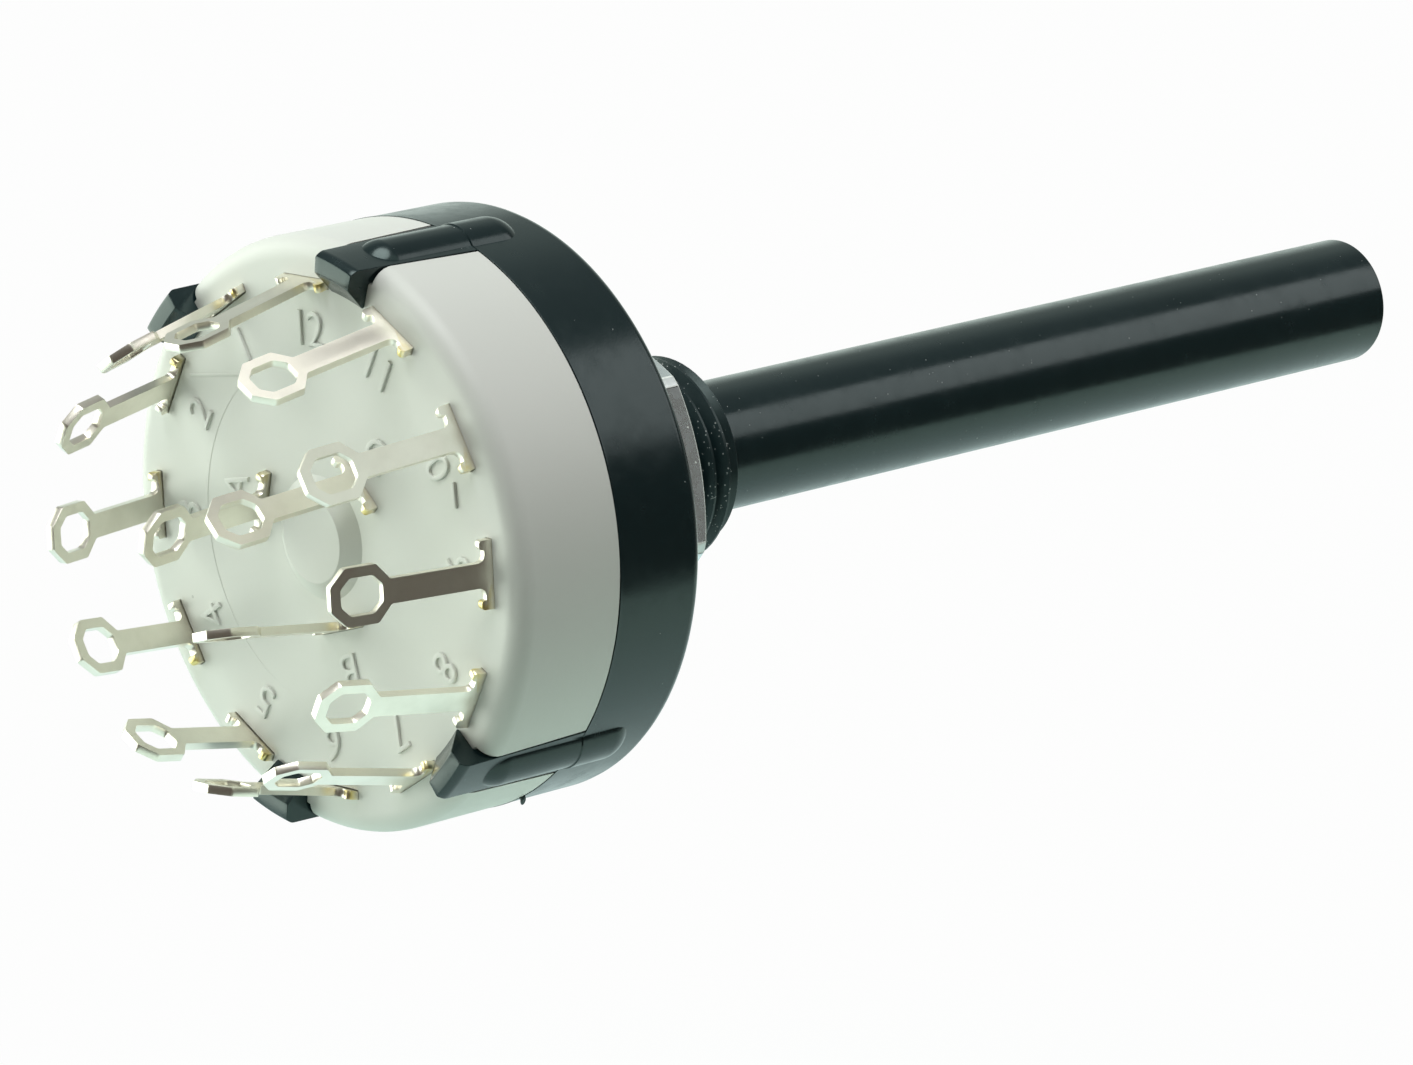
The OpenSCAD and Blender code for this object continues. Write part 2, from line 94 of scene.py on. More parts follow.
body_r = span("rear_stator", X)[1]
joint_z = span("rear_stator", Y)[0]
rear_z = span("rear_stator", Y)[1] - boss_h
bush_z, hook_z = span("front_housing", Y)
tip_z, pivot_z = span("spindle", Y)
drum_r = span("spindle", X)[1]
pad_z = span("terminal_12", Y)[0]
tag_r = span("terminal_3", X)[1] - tag_t / 2
ball_low, ball_high = span("detent_ball_1", Y)
ball_d = ball_high - ball_low
ball_z = (ball_low + ball_high) / 2
ball_out = -span("detent_ball_1", Z)[0]

TAGS = 12
POLES = 3


def tag_angle(k):
    """Angle on the stack of outer tag number k, in degrees."""
    return 30 * k - 90


def pole_angle(p):
    """Angle on the stack of pole tag number p, in degrees."""
    return 120 * p - 15


# Angles on the stack of the four snap clips, in degrees: they are unevenly spaced
CLIPS = (-45, -105, 135, 75)

# The ring of stops: the drum's channel and its lug, the housing's fixed stop, and the holes that take the
# stop washer's tab. lug_half, stop_gap, tab_half, fixed_stop and stop_holes are angles in degrees.
stop_r = 7.0
drum_front = 1.7
channel_z = 2.6
lug_half = 7
stop_gap = 0.6
tab_w = 0.9
tab_half = math.degrees(math.asin(tab_w / 2 / stop_r))
fixed_stop = -2 * lug_half - stop_gap
stop_holes = [30 * n + lug_half + tab_half + stop_gap for n in range(1, 11)]

# ------------------------------------------------------- shaping tools


def rounded(corners, steps=4):
    """The closed outline through corners (x, y, radius), each turned into an arc of its radius."""
    points = []
    for i, (x, y, radius) in enumerate(corners):
        corner = Vector((x, y))
        if not radius:
            points.append(corner)
            continue
        back = (Vector(corners[i - 1][:2]) - corner).normalized()
        ahead = (Vector(corners[(i + 1) % len(corners)][:2]) - corner).normalized()
        half = back.angle(ahead) / 2
        centre = corner + (back + ahead).normalized() * (radius / math.sin(half))
        first = corner + back * (radius / math.tan(half)) - centre
        turned = back.angle_signed(ahead)
        sweep = math.copysign(math.pi - 2 * half, -turned)
        for k in range(steps + 1):
            points.append(centre + Matrix.Rotation(-sweep * k / steps, 2) @ first)
    return points


def upright(point):
    """Where a point (radius, z) of a section lies before it is spun."""
    return point[0], 0, point[1]


def loop(bm, points, place=upright):
    """A closed loop of edges through the points, each put in space by place()."""
    verts = [bm.verts.new(place(p)) for p in points]
    return [bm.edges.new((verts[i - 1], v)) for i, v in enumerate(verts)]


def verts_in(geom):
    """The vertices in what an operator gives back."""
    return [g for g in geom if isinstance(g, bmesh.types.BMVert)]


def edges_in(geom):
    """The edges in what an operator gives back."""
    return [g for g in geom if isinstance(g, bmesh.types.BMEdge)]


def everything(bm):
    """All of a shape's vertices, edges and faces."""
    return bm.verts[:] + bm.edges[:] + bm.faces[:]


def tidy(bm, gap=1e-4):
    """Merges what meets and turns every face outwards."""
    bmesh.ops.remove_doubles(bm, verts=bm.verts, dist=gap)
    bmesh.ops.recalc_face_normals(bm, faces=bm.faces)


def lathe(corners, steps=192, arc_steps=4):
    """A solid of revolution about the stack's axis, from the corners (radius, z, rounding) of its section."""
    bm = bmesh.new()
    edges = loop(bm, rounded(corners, arc_steps))
    bmesh.ops.spin(bm, geom=list(bm.verts) + edges, axis=(0, 0, 1), cent=(0, 0, 0), dvec=(0, 0, 0),
                   angle=2 * math.pi, steps=steps, use_merge=True)
    tidy(bm)
    return bm


def rod(radius, low, high, steps=48, rounding=0):
    """A cylinder on the stack's axis from one height to another, with its low end rounded."""
    return lathe([(0, low, 0), (radius, low, rounding), (radius, high, 0), (0, high, 0)], steps)


def prism(corners, place, rise, arc_steps=4):
    """The corners' rounded outline, put in space by place() and raised along a vector."""
    bm = bmesh.new()
    blank = bmesh.ops.edgeloop_fill(bm, edges=loop(bm, rounded(corners, arc_steps), place))["faces"]
    raised = bmesh.ops.extrude_face_region(bm, geom=blank)["geom"]
    bmesh.ops.translate(bm, vec=rise, verts=verts_in(raised))
    tidy(bm)
    return bm


def soften(bm, width, segments=2, sharper_than=30, only=lambda edge: True):
    """Bevels the edges that are sharper than an angle, or only some of them."""
    limit = math.radians(sharper_than)
    edges = [e for e in bm.edges if e.is_manifold and e.calc_face_angle(0) > limit and only(e)]
    bmesh.ops.bevel(bm, geom=edges, offset=width, offset_type="OFFSET", segments=segments, profile=0.5,
                    affect="EDGES", clamp_overlap=True, material=-1)


def turn(bm, degrees):
    """Turns a shape about the stack's axis."""
    about_axis = Matrix.Rotation(math.radians(degrees), 3, "Z")
    bmesh.ops.rotate(bm, verts=bm.verts, cent=(0, 0, 0), matrix=about_axis)
    return bm


def move(bm, x, y, z):
    """Moves a shape on the stack."""
    bmesh.ops.translate(bm, vec=(x, y, z), verts=bm.verts)
    return bm


def score(bm, z):
    """Cuts a ring of edges into a shape at a height on the stack."""
    bmesh.ops.bisect_plane(bm, geom=everything(bm), plane_co=(0, 0, z), plane_no=(0, 0, 1))


def cut_off(bm, point, outwards):
    """Takes away what lies past a plane, and closes the cut."""
    cut = bmesh.ops.bisect_plane(bm, geom=everything(bm), plane_co=point, plane_no=outwards, clear_outer=True)
    bmesh.ops.holes_fill(bm, edges=edges_in(cut["geom_cut"]), sides=0)


def ring_block(section, middle, half_angle, step_angle=3.4):
    """A section (radius, z) swept about the stack's axis, as far to each side of an angle as half_angle."""
    bm = bmesh.new()
    bmesh.ops.edgeloop_fill(bm, edges=loop(bm, section))
    turn(bm, middle - half_angle)
    bmesh.ops.spin(bm, geom=bm.faces[:], axis=(0, 0, 1), cent=(0, 0, 0), dvec=(0, 0, 0),
                   angle=math.radians(2 * half_angle), steps=math.ceil(2 * half_angle / step_angle))
    tidy(bm)
    return bm


def mesh_from(bm, name):
    """A mesh made from a shape, which is used up."""
    mesh = bpy.data.meshes.new(name)
    bm.to_mesh(mesh)
    bm.free()
    return mesh


def shape_from(mesh):
    """A shape made from a mesh."""
    bm = bmesh.new()
    bm.from_mesh(mesh)
    return bm


def put_in_scene(name, data):
    """A new object in the scene."""
    made = bpy.data.objects.new(name, data)
    bpy.context.scene.collection.objects.link(made)
    return made


def merged(shapes):
    """Several shapes in one mesh, as one moulding or one bundle of pieces."""
    whole = bmesh.new()
    for shape in shapes:
        mesh = mesh_from(shape, "part")
        whole.from_mesh(mesh)
        bpy.data.meshes.remove(mesh)
    return whole


def carved(shape, cutter):
    """A shape with the volume of a cutter taken out of it."""
    blanks = [put_in_scene("blank", mesh_from(bm, "blank")) for bm in (shape, cutter)]
    cut = blanks[0].modifiers.new("cut", "BOOLEAN")
    cut.operation = "DIFFERENCE"
    cut.solver = "EXACT"
    cut.object = blanks[1]
    bm = shape_from(blanks[0].evaluated_get(bpy.context.evaluated_depsgraph_get()).to_mesh())
    for blank in blanks:
        mesh = blank.data
        bpy.data.objects.remove(blank)
        bpy.data.meshes.remove(mesh)
    return bm


def piece(name, bm, material, body="body", replaces=(), smooth_below=35):
    """Makes a shape on the stack a finished piece of the switch."""
    bmesh.ops.dissolve_degenerate(bm, dist=1e-4, edges=bm.edges)
    bmesh.ops.delete(bm, geom=[e for e in bm.edges if e.is_wire], context="EDGES")
    bmesh.ops.transform(bm, matrix=STACK, verts=bm.verts)
    mesh = mesh_from(bm, name)
    mesh.materials.append(material)
    mesh.shade_smooth()
    mesh.set_sharp_from_angle(angle=math.radians(smooth_below))
    made = put_in_scene(name, mesh)
    made.modifiers.new("even_shading", "WEIGHTED_NORMAL").keep_sharp = True
    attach(made, body)
    if replaces:
        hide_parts(*replaces)


# -------------------------------------------------------------- materials


class Level:
    """A number that varies over a surface: arithmetic on it adds Math nodes."""

    def __init__(self, finish, socket):
        self.finish = finish
        self.socket = socket

    def math(self, operation, *terms):
        return self.finish.add("Math", {"operation": operation}, dict(enumerate(terms)))

    def __add__(self, other):
        return self.math("ADD", self, other)

    def __radd__(self, other):
        return self.math("ADD", other, self)

    def __sub__(self, other):
        return self.math("SUBTRACT", self, other)

    def __rsub__(self, other):
        return self.math("SUBTRACT", other, self)

    def __mul__(self, other):
        return self.math("MULTIPLY", self, other)

    def __rmul__(self, other):
        return self.math("MULTIPLY", other, self)

    def __gt__(self, other):
        return self.math("GREATER_THAN", self, other)

    def __lt__(self, other):
        return self.math("LESS_THAN", self, other)


class Finish:
    """The nodes of one material or world."""

    def __init__(self, owner, place="Object"):
        self.owner = owner
        owner.use_nodes = True
        self.tree = owner.node_tree
        self.tree.nodes.clear()
        self.where = self.add("TexCoord", output=place)

    def add(self, kind, settings=None, values=None, output=0):
        """A node of a type: its settings first, then its sockets' values or links. Gives one output."""
        node = self.tree.nodes.new("ShaderNode" + kind)
        for name, setting in (settings or {}).items():
            setattr(node, name, setting)
        for name, value in (values or {}).items():
            if isinstance(value, Level):
                self.tree.links.new(value.socket, node.inputs[name])
            else:
                node.inputs[name].default_value = value
        return Level(self, node.outputs[output]) if node.outputs else None

    def vector(self, operation, *terms, output=0):
        """Vector arithmetic: its output is the vector, or Value where the result is a number."""
        return self.add("VectorMath", {"operation": operation}, dict(enumerate(terms)), output)

    def along(self, axis):
        """How far the surface lies along a frame axis, in metres."""
        return self.add("SeparateXYZ", None, {"Vector": self.where}, axis)

    def attribute(self, name):
        """A number that the mesh itself holds."""
        return self.add("Attribute", {"attribute_name": name}, None, "Fac")

    def ray(self, kind):
        """1 for rays of a kind, such as Camera, and 0 for the others."""
        return self.add("LightPath", output=f"Is {kind} Ray")

    def noise(self, scale, detail=3.0, roughness=0.5):
        """Soft noise from 0 to 1 at a number of cells a metre."""
        return self.add("TexNoise", None, {"Vector": self.where, "Scale": scale, "Detail": detail,
                                           "Roughness": roughness})

    def ramp(self, level, low, high):
        """A level from 0 at low to 1 at high, held at both ends."""
        return self.add("MapRange", {"clamp": True}, {"Value": level, "From Min": low, "From Max": high})

    def specks(self, cells, size, share):
        """Scattered dots: a share of the cells hold one, of a size in cells."""
        cell = {"Vector": self.where, "Scale": cells, "Randomness": 1.0}
        near = self.add("TexVoronoi", None, cell, "Distance")
        pick = self.add("SeparateColor", None, {"Color": self.add("TexVoronoi", None, cell, "Color")}, "Red")
        return (near < size) * (pick < share)

    def lint(self, cells, width, share):
        """Short fine fibres: bits of the borders between cells, where a noise is high."""
        border = self.add("TexVoronoi", {"feature": "DISTANCE_TO_EDGE"},
                          {"Vector": self.where, "Scale": cells, "Randomness": 1.0})
        return (border < width) * (self.noise(cells * 1.7, 1.0) > 1 - share)

    def mix(self, level, first, second):
        """A colour between two, by a level."""
        return self.add("Mix", {"data_type": "RGBA"}, {0: level, 6: first, 7: second}, 2)

    def bump(self, level, height):
        """Surface relief of a height in metres."""
        return self.add("Bump", None, {"Height": level, "Distance": height, "Strength": 1.0})

    def shader(self, **values):
        """Ends the material with its shader. Names take _ for a space."""
        named = {name.replace("_", " "): value for name, value in values.items()}
        shaded = self.add("BsdfPrincipled", None, named)
        self.add("OutputMaterial", None, {"Surface": shaded})
        return self.owner


def finish(name):
    """The nodes of a new material."""
    return Finish(bpy.data.materials.new(name))


def grey(level):
    """A neutral colour."""
    return (level, level, level, 1)


def black_plastic():
    """Black glass-filled nylon with a satin skin. Dust and lint lie on it, most of all about the thread."""
    f = finish("black_plastic")
    cloud = f.noise(260, 4.0)
    grain = f.noise(9000, 2.0)
    smudge = f.ramp(f.noise(800, 5.0, 0.65), 0.45, 0.70)
    bush_end = bush_z * MM
    forward = f.ramp(f.along("Y"), -0.006, -0.010)
    about_thread = f.ramp(f.along("Y"), bush_end - 0.001, bush_end) * f.ramp(f.along("Y"), -0.004, -0.007)
    from_axis = f.vector("LENGTH", f.vector("MULTIPLY", f.where, (1, 0, 1)), output="Value")
    crest = f.ramp(from_axis, (bush_r - 0.3) * MM, (bush_r - 0.1) * MM) * about_thread
    dust = (f.specks(4200, 0.11, 0.01 + 0.06 * forward + 0.40 * about_thread)
            + f.specks(2400, 0.09, 0.03 + 0.09 * forward + 0.22 * about_thread)
            + f.specks(5200, 0.22, 0.55 * crest))
    lint = f.lint(620, 0.009, 0.14 + 0.22 * about_thread)
    paleness = f.ramp(dust + lint, 0.0, 1.0) * (0.3 + 0.3 * about_thread + 0.6 * f.ramp(grain, 0.45, 0.7))
    tone = f.mix(cloud, (0.0042, 0.0128, 0.0148, 1), (0.0060, 0.0170, 0.0195, 1))
    return f.shader(
        Base_Color=f.mix(paleness, tone, (0.42, 0.45, 0.44, 1)),
        Roughness=0.155 + 0.06 * cloud + 0.10 * smudge + 0.16 * about_thread + 0.4 * paleness,
        Normal=f.bump(grain + 0.6 * f.noise(1500, 3.0) + paleness, 0.0000022),
        IOR=1.54,
        Specular_Tint=(0.82, 1.0, 0.97, 1),
    )


def grey_plastic():
    """Light grey moulded plastic with soft flow marks."""
    f = finish("grey_plastic")
    flow = f.noise(70, 3.0)
    cloud = f.noise(420, 4.0)
    pits = f.specks(700, 0.06, 0.05)
    tone = f.mix(flow, (0.632, 0.656, 0.612, 1), (0.668, 0.682, 0.645, 1))
    return f.shader(
        Base_Color=f.mix(pits * 0.5, tone, (0.34, 0.36, 0.33, 1)),
        Roughness=0.42 + 0.14 * cloud,
        Normal=f.bump(f.noise(2600, 3.0) + 0.5 * f.noise(9000, 2.0), 0.000005),
    )


def tag_metal():
    """Silver-plated brass sheet: rolled faces and a thin tarnish, with brass where bare marks a cut nib."""
    f = finish("tag_metal")
    tarnish = f.ramp(f.noise(380, 5.0, 0.6), 0.42, 0.66)
    grain = f.noise(1600, 4.0, 0.6)
    worn = f.ramp(f.noise(1300, 3.0), 0.34, 0.55)
    bare = f.attribute("bare") * worn
    silver = f.mix(tarnish, (0.95, 0.91, 0.81, 1), (0.87, 0.83, 0.73, 1))
    return f.shader(
        Base_Color=f.mix(bare, silver, (0.80, 0.66, 0.27, 1)),
        Metallic=1.0,
        Roughness=0.27 + 0.06 * grain + 0.05 * tarnish,
        Normal=f.bump(grain, 0.000002),
    )


def nickel():
    """Nickel-plated turned steel, stained and dusty, and paler where dust lies. It is paler too at the
    corners and edges that the mesh's attribute marks: there the pale is a painted highlight.
    """
    f = finish("nickel")
    turning = f.vector("MULTIPLY", f.where, (900, 9000, 900))
    marks = f.add("TexNoise", None, {"Vector": turning, "Scale": 1.0, "Detail": 3.0})
    patch = f.ramp(f.noise(1500, 4.0, 0.6), 0.35, 0.65)
    dust = f.specks(2600, 0.13, 0.35) + f.specks(1500, 0.10, 0.22)
    # How pale and dull the metal is: a little everywhere, more where dust lies, and a painted highlight where
    # the nut's edges and corners are marked.
    paleness = 0.20 + 0.80 * f.ramp(dust + f.attribute("painted_highlight"), 0.0, 1.0)
    metal = f.mix(patch, (0.80, 0.89, 0.92, 1), (0.62, 0.69, 0.72, 1))
    return f.shader(
        Base_Color=f.mix(paleness, metal, (0.82, 0.87, 0.83, 1)),
        Metallic=1 - paleness,
        Roughness=0.16 + 0.14 * patch + 0.2 * paleness,
        Normal=f.bump(marks, 0.000004),
    )


def bright_steel(name, colour, darker, roughness):
    """Bright metal of the hidden spring, balls and contacts."""
    f = finish(name)
    patch = f.noise(900, 4.0)
    return f.shader(
        Base_Color=f.mix(patch, colour, darker),
        Metallic=1.0,
        Roughness=roughness + 0.1 * patch,
        Normal=f.bump(f.noise(6000, 3.0), 0.000003),
    )


def white_plastic():
    """Natural white acetal of the rotor."""
    f = finish("white_plastic")
    cloud = f.noise(300, 3.0)
    return f.shader(
        Base_Color=f.mix(cloud, (0.80, 0.80, 0.75, 1), (0.86, 0.86, 0.82, 1)),
        Roughness=0.38 + 0.1 * cloud,
        Normal=f.bump(f.noise(4000, 3.0), 0.000003),
    )


BLACK = black_plastic()
GREY = grey_plastic()
TAG = tag_metal()
NICKEL = nickel()
STEEL = bright_steel("spring_steel", grey(0.66), grey(0.5), 0.2)
CONTACT = bright_steel("contact_metal", (0.82, 0.72, 0.5, 1), (0.7, 0.6, 0.4, 1), 0.25)
WHITE = white_plastic()

# ---------------------------------------------------------- front housing


def thread(pitch=0.9, root=4.5, sunk=0.06, crest=0.06, lead=0.5, start=148):
    """The bush's thread: one ridge wound along it, cut square at both ends and chamfered at the front."""
    steps = 64
    turns = math.ceil((recess_z - bush_z) / pitch) + 2
    foot, flank = root - sunk, pitch * 0.48
    bm = bmesh.new()
    section = [(foot, -flank), (bush_r, -crest), (bush_r, crest), (foot, flank)]
    edges = loop(bm, section, lambda p: (p[0], 0, p[1] + bush_z - pitch))
    bmesh.ops.spin(bm, geom=list(bm.verts) + edges, axis=(0, 0, 1), cent=(0, 0, 0),
                   dvec=(0, 0, pitch / steps), angle=2 * math.pi * turns, steps=turns * steps)
    turn(bm, start)
    cut_off(bm, (0, 0, bush_z), (0, 0, -1))
    cut_off(bm, (0, 0, recess_z - 0.02), (0, 0, 1))
    for v in bm.verts:
        radius = math.hypot(v.co.x, v.co.y)
        limit = max(foot, bush_r - lead + (v.co.z - bush_z))
        if radius > limit:
            v.co.x *= limit / radius
            v.co.y *= limit / radius
    tidy(bm, 1e-5)
    return bm


def narrowing(z):
    """How much narrower each half of a clip's arm is at a height on the stack than at the joint."""
    return clip_taper * min(1, max(0, (z - joint_z) / (rear_z - joint_z)))


def clip(reach=1.4, gap=0.02, chamfer=0.22, chamfer_z=0.32, softening=0.10):
    """A snap clip on the x axis: a tapering arm that follows the body's curve, with its hook."""
    root_z, rise = joint_z - 1.0, hook_z - rear_z
    inner = body_r - clip_t
    corners = [(inner, root_z, 0), (body_r, root_z, 0), (body_r, hook_z - chamfer_z, 0.5),
               (body_r - chamfer, hook_z, 0.12), (inner - reach + rise, hook_z, 0.12),
               (inner - reach, rear_z + gap, 0.08), (inner, rear_z + gap, 0.1)]
    bm = prism(corners, lambda p: (p[0], -1, p[1]), (0, 2, 0), 3)
    across = [e for e in bm.edges if abs(e.verts[0].co.y - e.verts[1].co.y) > 1]
    bmesh.ops.subdivide_edges(bm, edges=across, cuts=7)
    for v in bm.verts:
        around = v.co.y * (clip_half - narrowing(v.co.z)) / body_r
        v.co = Vector((v.co.x * math.cos(around), v.co.x * math.sin(around), v.co.z))
    free = root_z + 0.1
    soften(bm, softening, 3, 40, lambda e: max(v.co.z for v in e.verts) > free)
    return bm


def rib(radius=1.6, proud=0.45, front_z=1.9, rear_gap=0.8, sunk=0.3, step=0.05):
    """The long rounded rib on a clip: a bar of round section with round ends, sunk in the arm. In front of
    the joint it stands a step higher and is a little wider."""
    chord = math.sqrt(radius ** 2 - (radius - proud) ** 2)
    low, high = front_z + chord, rear_z - rear_gap - chord
    bm = bmesh.new()
    bmesh.ops.create_uvsphere(bm, u_segments=64, v_segments=32, radius=radius)
    for v in bm.verts:
        v.co.z += high if v.co.z > 0 else low
        v.co.x += body_r + proud - radius
    cut_off(bm, (body_r - sunk, 0, 0), (-1, 0, 0))
    score(bm, joint_z)
    score(bm, joint_z - step)
    for v in bm.verts:
        if v.co.z < joint_z - 0.02:
            v.co.x += step
            v.co.y *= 1.04
    tidy(bm)
    return bm


def flash(radius=0.12):
    """A small uneven blob of plastic squeezed out at the joint, on the x axis."""
    bm = bmesh.new()
    bmesh.ops.create_icosphere(bm, subdivisions=3, radius=radius)
    for v in bm.verts:
        swelling = 1 + 0.4 * math.sin(27 * v.co.x + 19 * v.co.y)
        v.co = Vector((v.co.x * 1.8, v.co.y * 1.6, v.co.z * 0.8)) * swelling
    return move(bm, body_r + 0.1, 0, joint_z - 0.02)


def front_housing():
    """The black moulding: front wall, threaded bush, locating peg and the four snap clips."""
    bore, root, spigot_r, spigot_z, wall_z = shaft_r + 0.25, 4.48, 12.3, 6.3, 1.5
    lip, lip_h = 0.03, 0.15
    crest, notch_r, hole_r = ball_out + 0.03, ball_d / 2 + 0.1, 0.7
    peg_r, peg_h, peg_at = 1.2, 1.6, 11
    body = lathe([
        (bore, bush_z, 0.15), (root, bush_z, 0.05), (root, recess_z, 0.1),
        (recess_r, recess_z, 0.1), (recess_r, 0, 0.08), (body_r, 0, front_edge_r),
        (body_r, joint_z - lip_h, 0), (body_r + lip, joint_z - lip, 0.02),
        (spigot_r, joint_z - lip, 0), (spigot_r, spigot_z, 0.1),
        (crest, spigot_z, 0.1), (crest, wall_z, 0), (bore, wall_z, 0.1),
    ], 256, 5)
    cutters = []
    for k in range(TAGS):
        notch = move(rod(notch_r, wall_z, spigot_z + 1), crest + notch_h - notch_r, 0, 0)
        cutters.append(turn(notch, 360 * k / TAGS))
    for degrees in stop_holes:
        hole = move(rod(hole_r, 0, wall_z + 0.5, 32), stop_r, 0, 0)
        cutters.append(turn(hole, degrees))
    body = carved(body, merged(cutters))
    block_half, block_low, block_high = 0.6, wall_z - 0.3, channel_z - 0.2
    block = [(stop_r - block_half, block_low), (stop_r + block_half, block_low),
             (stop_r + block_half, block_high), (stop_r - block_half, block_high)]
    peg = move(rod(peg_r, -peg_h, 0.2, rounding=0.2), 0, -peg_at, 0)
    shapes = [body, ring_block(block, fixed_stop, lug_half), thread(), peg, turn(flash(), 116)]
    for angle in CLIPS:
        shapes += [turn(clip(), angle), turn(rib(), angle)]
    piece("front_housing_moulding", merged(shapes), BLACK, replaces=["front_housing"])


# ------------------------------------------------------------ rear stator


def slot_half(z):
    """Half the width of the slot that a clip's arm lies in, at a height on the stack."""
    return clip_half + slot_gap - narrowing(z)


def stator_column(station, r, z):
    """Where a point of the section lies at one station around the cup."""
    kind, centre, place = station
    if kind == "wall":
        return Vector((r * math.cos(place), r * math.sin(place), z))
    side = place * slot_half(z)
    out = math.sqrt(r * r - side * side)
    if kind == "slot":
        out = min(out, body_r - clip_t - slot_gap)
    return Matrix.Rotation(centre, 3, "Z") @ Vector((out, side, z))


def stations(wall_step=1.6):
    """The stations around the cup, with the four slots that the clips lie in."""
    made = []
    half = math.asin(slot_half(joint_z) / body_r)
    centres = sorted(math.radians(a) % (2 * math.pi) for a in CLIPS)
    for i, centre in enumerate(centres):
        made.append(("edge", centre, -1))
        made += [("slot", centre, t / 4) for t in range(-4, 5)]
        made.append(("edge", centre, 1))
        start, end = centre + half, centres[(i + 1) % 4] - half + (2 * math.pi if i == 3 else 0)
        count = round((end - start) / math.radians(wall_step))
        made += [("wall", 0, start + (end - start) * k / count) for k in range(1, count)]
    return made


def tag_pocket(bm, radius, degrees):
    """The outline of the slot round one tag's foot, a little open on the tag's inner side."""
    inner, outer, half = radius - 0.26, radius + 0.22, foot_half + 0.03
    corners = [(inner, -half, 0.05), (outer, -half, 0.05), (outer, half, 0.05), (inner, half, 0.05)]
    spin = Matrix.Rotation(math.radians(degrees), 3, "Z")
    return loop(bm, rounded(corners, 2), lambda p: spin @ Vector((p[0], p[1], rear_z)))


def cup(side_t=1.6, pocket_depth=0.7):
    """Side wall, rear plate with the tags' slots, and the clips' slots."""
    inner, ceiling, edge = body_r - side_t, rear_z - plate_t, body_r - rear_edge_r - 0.15
    corners = [(edge, rear_z, 0), (body_r, rear_z, rear_edge_r), (body_r, joint_z, 0.05),
               (inner, joint_z, 0.05), (inner, ceiling, 0.1), (inner - 1, ceiling, 0)]
    around = stations()
    bm = bmesh.new()
    shut, *edges = loop(bm, rounded(corners, 8))
    bm.edges.remove(shut)
    for _ in around:
        made = bmesh.ops.extrude_edge_only(bm, edges=edges)["geom"]
        edges = edges_in(made)
        bmesh.ops.translate(bm, vec=(0, 1, 0), verts=verts_in(made))
    for v in bm.verts:
        v.co = stator_column(around[round(v.co.y) % len(around)], v.co.x, v.co.z)
    bmesh.ops.remove_doubles(bm, verts=bm.verts, dist=1e-4)
    inside = [e for e in bm.edges if e.is_boundary and e.verts[0].co.z < ceiling + 0.1]
    bmesh.ops.holes_fill(bm, edges=inside, sides=0)
    rim = [e for e in bm.edges if e.is_boundary]
    pockets = [tag_pocket(bm, tag_r, tag_angle(k)) for k in range(1, TAGS + 1)]
    pockets += [tag_pocket(bm, pole_r, pole_angle(p)) for p in range(POLES)]
    outlines = rim + [e for pocket in pockets for e in pocket]
    bmesh.ops.triangle_fill(bm, edges=outlines, normal=(0, 0, 1), use_beauty=True)
    for pocket in pockets:
        lowered = bmesh.ops.extrude_edge_only(bm, edges=pocket)["geom"]
        bmesh.ops.translate(bm, vec=(0, 0, -pocket_depth), verts=verts_in(lowered))
        bmesh.ops.holes_fill(bm, edges=edges_in(lowered), sides=0)
    bmesh.ops.recalc_face_normals(bm, faces=bm.faces)
    outside = body_r - 1.2
    soften(bm, 0.07, 2, 50, lambda e: math.hypot(*e.verts[0].co.xy) > outside and e.calc_length() > 0.01)
    return bm


def mark(words, radius, degrees):
    """A raised number or letter on the rear plate, read with its foot towards the middle."""
    curve = bpy.data.curves.new("mark", "FONT")
    curve.body = words
    curve.size = 2.4
    curve.align_x = "CENTER"
    curve.align_y = "CENTER"
    curve.offset = -0.035
    curve.extrude = 0.09
    curve.bevel_depth = 0.035
    curve.bevel_resolution = 1
    curve.resolution_u = 4
    curve.space_character = 0.95
    text = put_in_scene("mark", curve)
    mesh = bpy.data.meshes.new_from_object(text.evaluated_get(bpy.context.evaluated_depsgraph_get()))
    bpy.data.objects.remove(text)
    bm = shape_from(mesh)
    bpy.data.meshes.remove(mesh)
    bmesh.ops.remove_doubles(bm, verts=bm.verts, dist=1e-4)
    place = (Matrix.Rotation(math.radians(degrees), 4, "Z") @ Matrix.Translation((radius, 0, rear_z))
             @ Matrix.Rotation(math.radians(-90), 4, "Z"))
    bmesh.ops.transform(bm, matrix=place, verts=bm.verts)
    bmesh.ops.recalc_face_normals(bm, faces=bm.faces)
    return bm


def marks(number_r=9.7, letter_r=6.2):
    """The raised numbers beside the outer tags and the letters beside the pole tags."""
    shapes = [mark(str(k), number_r, tag_angle(k)) for k in range(1, TAGS + 1)]
    shapes += [mark(letter, letter_r, pole_angle(p)) for p, letter in enumerate("ABC")]
    return merged(shapes)


def ridge(start, end, width, height, sunk=0.05):
    """A low straight ridge on the rear plate, from one point of the stack to another."""
    along = Vector(end) - Vector(start)
    half = width / 2
    corners = [(0, -half, 0), (along.length, -half, 0), (along.length, half, 0), (0, half, 0)]
    bm = prism(corners, lambda p: (p[0], p[1], rear_z - sunk), (0, 0, height + sunk))
    soften(bm, min(width, height) * 0.4, 2, 30)
    turn(bm, math.degrees(math.atan2(along.y, along.x)))
    return move(bm, *start, 0)


